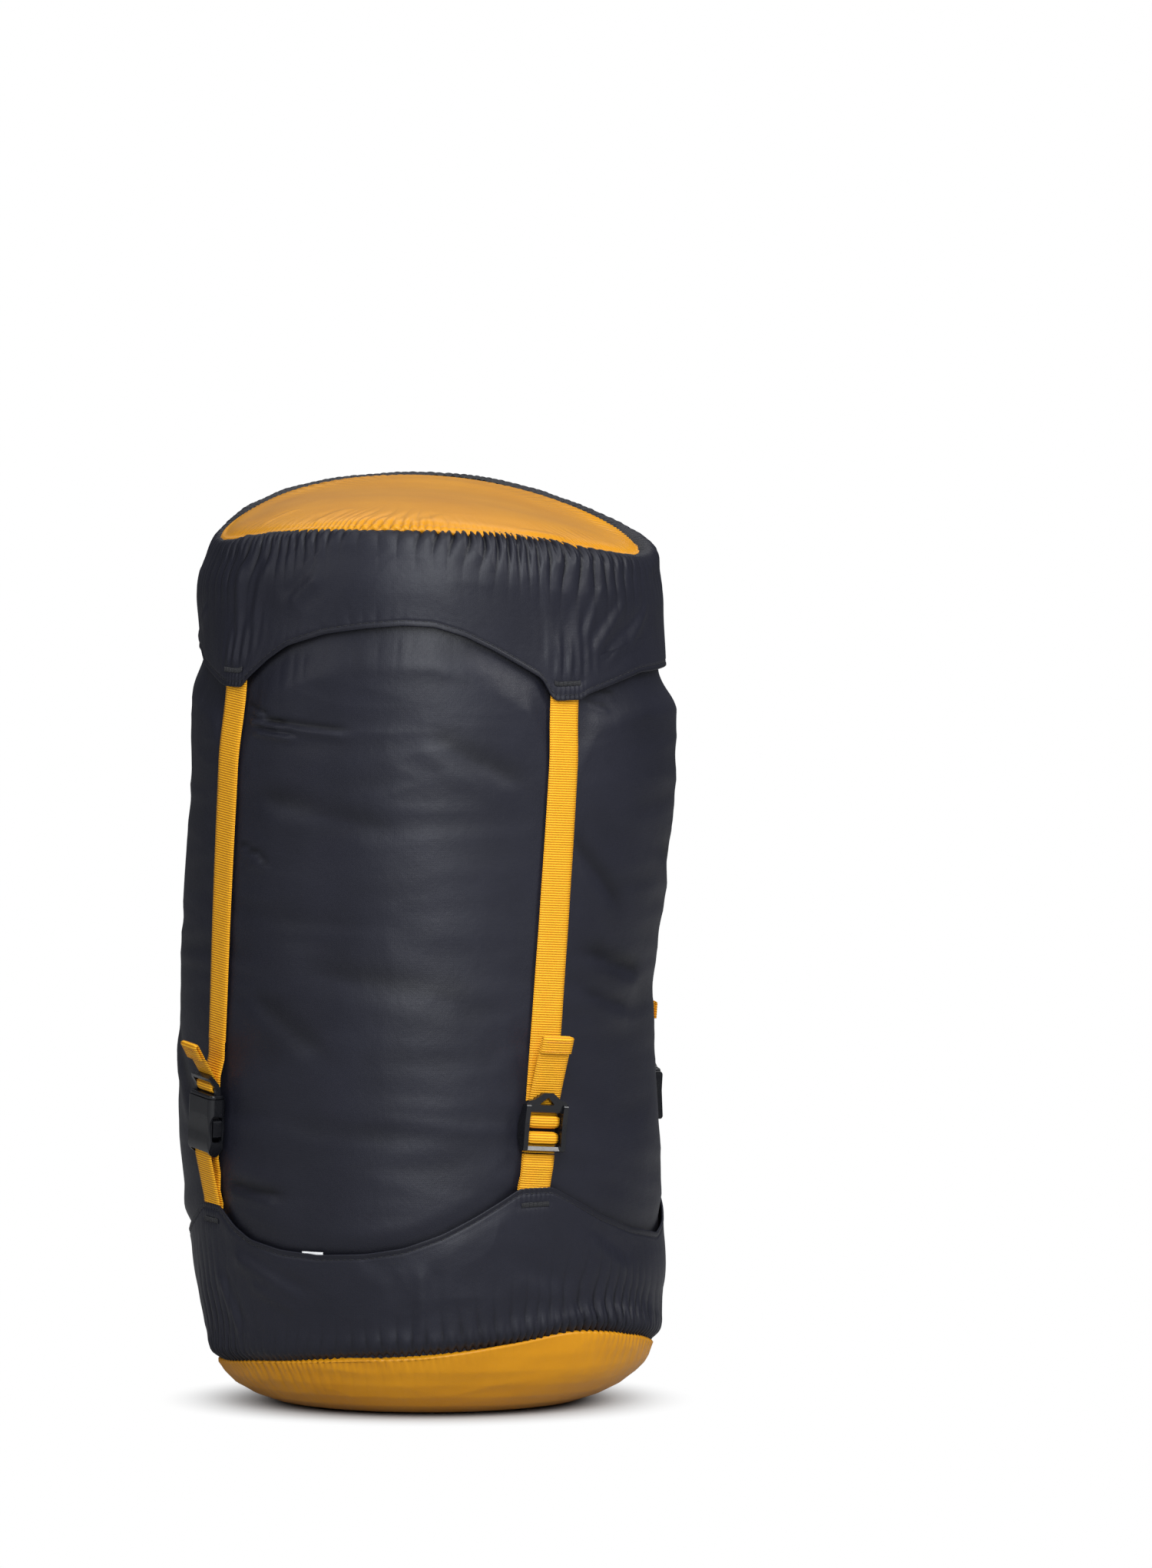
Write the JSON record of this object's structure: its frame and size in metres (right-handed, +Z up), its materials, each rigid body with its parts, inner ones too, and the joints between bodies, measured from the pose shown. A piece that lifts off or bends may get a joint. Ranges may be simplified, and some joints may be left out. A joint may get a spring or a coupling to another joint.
{
  "type": "compression sack",
  "caption": "Stuffed cylindrical compression sack with scalloped lid and base, webbing straps with side-release and ladder-lock buckles.",
  "frame": {"origin": "middle of the flat disc under the base that the sack stands on", "axes": "+Z up along the sack's axis, -Y front; the straps stand at 45 degrees between X and Y"},
  "size_m": [0.2086, 0.2086, 0.3954],
  "materials": {
    "ochre_fabric": "coated ripstop, satin",
    "black_fabric": "coated nylon, satin",
    "ochre_webbing": "ribbed woven webbing",
    "black_thread": "stitched thread",
    "tag_fabric": "plain woven tape",
    "eyelet_plastic": "moulded",
    "buckle_plastic": "moulded acetal, fine satin"
  },
  "bodies": {
    "sack": {"base_panel": "ochre_fabric", "base_cuff": "black_fabric", "sack_wall": "black_fabric", "base_bar_tacks": "black_thread", "care_tag": "tag_fabric", "front_left_anchor": "ochre_webbing", "front_left_strap_run": "ochre_webbing", "front_right_anchor": "ochre_webbing", "front_right_strap_run": "ochre_webbing", "back_right_anchor": "ochre_webbing", "back_right_strap_run": "ochre_webbing", "back_left_anchor": "ochre_webbing", "back_left_strap_run": "ochre_webbing"},
    "mouth": {"gathered_top": "black_fabric", "mouth_hem": "black_fabric", "mouth_eyelets": "eyelet_plastic"},
    "lid": {"lid_panel": "ochre_fabric", "lid_skirt": "black_fabric", "lid_bar_tacks": "black_thread", "front_left_strap_root": "ochre_webbing", "front_right_strap_root": "ochre_webbing", "back_right_strap_root": "ochre_webbing", "back_left_strap_root": "ochre_webbing"},
    "front_left_socket": {"front_left_socket": "buckle_plastic"},
    "front_left_plug": {"front_left_plug": "buckle_plastic", "front_left_strap_wrap": "ochre_webbing"},
    "front_left_plug_right_arm": {"front_left_plug_right_arm": "buckle_plastic"},
    "front_left_plug_left_arm": {"front_left_plug_left_arm": "buckle_plastic"},
    "front_left_tail": {"front_left_tail": "ochre_webbing", "front_left_tail_hem": "ochre_webbing"},
    "front_right_ladder_lock": {"front_right_ladder_lock": "buckle_plastic", "front_right_anchor_loop": "ochre_webbing", "front_right_strap_wrap": "ochre_webbing"},
    "front_right_tail": {"front_right_tail": "ochre_webbing", "front_right_tail_hem": "ochre_webbing"},
    "back_right_ladder_lock": {"back_right_ladder_lock": "buckle_plastic", "back_right_anchor_loop": "ochre_webbing", "back_right_strap_wrap": "ochre_webbing"},
    "back_right_tail": {"back_right_tail": "ochre_webbing", "back_right_tail_hem": "ochre_webbing"},
    "back_left_socket": {"back_left_socket": "buckle_plastic"},
    "back_left_plug": {"back_left_plug": "buckle_plastic", "back_left_strap_wrap": "ochre_webbing"},
    "back_left_plug_right_arm": {"back_left_plug_right_arm": "buckle_plastic"},
    "back_left_plug_left_arm": {"back_left_plug_left_arm": "buckle_plastic"},
    "back_left_tail": {"back_left_tail": "ochre_webbing", "back_left_tail_hem": "ochre_webbing"}
  },
  "joints": [
    {"name": "lid_press", "type": "slide", "parent": "sack", "child": "lid", "axis": [0, 0, 1], "range_m": [-0.11, 0.006], "deforming": ["sack_wall", "front_left_strap_run", "front_right_strap_run", "back_right_strap_run", "back_left_strap_run"]},
    {"name": "mouth_drop", "type": "slide", "parent": "sack", "child": "mouth", "axis": [0, 0, 1], "range_m": [-0.11, 0.006]},
    {"name": "front_left_socket_tilt", "type": "hinge", "parent": "sack", "child": "front_left_socket", "pos_m": [-0.08069, -0.06998, 0.11334], "axis": [0.6592, -0.7476, -0.0802], "range_deg": [0, 22]},
    {"name": "front_left_plug_pull", "type": "slide", "parent": "front_left_socket", "child": "front_left_plug", "axis": [0.053, -0.0602, 0.9968], "range_m": [0, 0.022], "deforming": ["front_left_plug_right_arm", "front_left_plug_left_arm"]},
    {"name": "front_left_right_arm_squeeze", "type": "hinge", "parent": "front_left_plug", "child": "front_left_plug_right_arm", "pos_m": [-0.07558, -0.07682, 0.13683], "axis": [0.7501, 0.6614, 0], "range_deg": [0, 12], "stiffness_Nm_per_rad": 0.1},
    {"name": "front_left_left_arm_squeeze", "type": "hinge", "parent": "front_left_plug", "child": "front_left_plug_left_arm", "pos_m": [-0.08428, -0.06695, 0.13789], "axis": [-0.7501, -0.6614, 0], "range_deg": [0, 12], "stiffness_Nm_per_rad": 0.1},
    {"name": "front_left_tail_pull", "type": "slide", "parent": "front_left_plug", "child": "front_left_tail", "axis": [-0.3291, -0.3828, 0.8632], "range_m": [-0.006, 0.11], "deforming": ["front_left_tail"]},
    {"name": "front_right_lock_tilt", "type": "hinge", "parent": "sack", "child": "front_right_ladder_lock", "pos_m": [0.06874, -0.07891, 0.11632], "axis": [0.7448, 0.6625, -0.0802], "range_deg": [0, 22]},
    {"name": "front_right_tail_pull", "type": "slide", "parent": "front_right_ladder_lock", "child": "front_right_tail", "axis": [0.2354, -0.1483, 0.9605], "range_m": [-0.006, 0.11], "deforming": ["front_right_tail"]},
    {"name": "back_right_lock_tilt", "type": "hinge", "parent": "sack", "child": "back_right_ladder_lock", "pos_m": [0.07891, 0.06874, 0.11632], "axis": [-0.6625, 0.7448, -0.0802], "range_deg": [0, 22]},
    {"name": "back_right_tail_pull", "type": "slide", "parent": "back_right_ladder_lock", "child": "back_right_tail", "axis": [0.0382, 0.1405, 0.9893], "range_m": [-0.006, 0.11], "deforming": ["back_right_tail"]},
    {"name": "back_left_socket_tilt", "type": "hinge", "parent": "sack", "child": "back_left_socket", "pos_m": [-0.06998, 0.08069, 0.11334], "axis": [-0.7476, -0.6592, -0.0802], "range_deg": [0, 22]},
    {"name": "back_left_plug_pull", "type": "slide", "parent": "back_left_socket", "child": "back_left_plug", "axis": [-0.0602, -0.053, 0.9968], "range_m": [0, 0.022], "deforming": ["back_left_plug_right_arm", "back_left_plug_left_arm"]},
    {"name": "back_left_right_arm_squeeze", "type": "hinge", "parent": "back_left_plug", "child": "back_left_plug_right_arm", "pos_m": [-0.07682, 0.07558, 0.13683], "axis": [0.6614, -0.7501, 0], "range_deg": [0, 12], "stiffness_Nm_per_rad": 0.1},
    {"name": "back_left_left_arm_squeeze", "type": "hinge", "parent": "back_left_plug", "child": "back_left_plug_left_arm", "pos_m": [-0.06695, 0.08428, 0.13789], "axis": [-0.6614, 0.7501, 0], "range_deg": [0, 12], "stiffness_Nm_per_rad": 0.1},
    {"name": "back_left_tail_pull", "type": "slide", "parent": "back_left_plug", "child": "back_left_tail", "axis": [-0.1963, 0.1041, 0.975], "range_m": [-0.006, 0.11], "deforming": ["back_left_tail"]}
  ],
  "couplings": [
    {"joint": "mouth_drop", "follows": "lid_press", "ratio": 1},
    {"joint": "front_left_tail_pull", "follows": "lid_press", "ratio": -1},
    {"joint": "front_right_tail_pull", "follows": "lid_press", "ratio": -1},
    {"joint": "back_right_tail_pull", "follows": "lid_press", "ratio": -1},
    {"joint": "back_left_tail_pull", "follows": "lid_press", "ratio": -1}
  ]
}
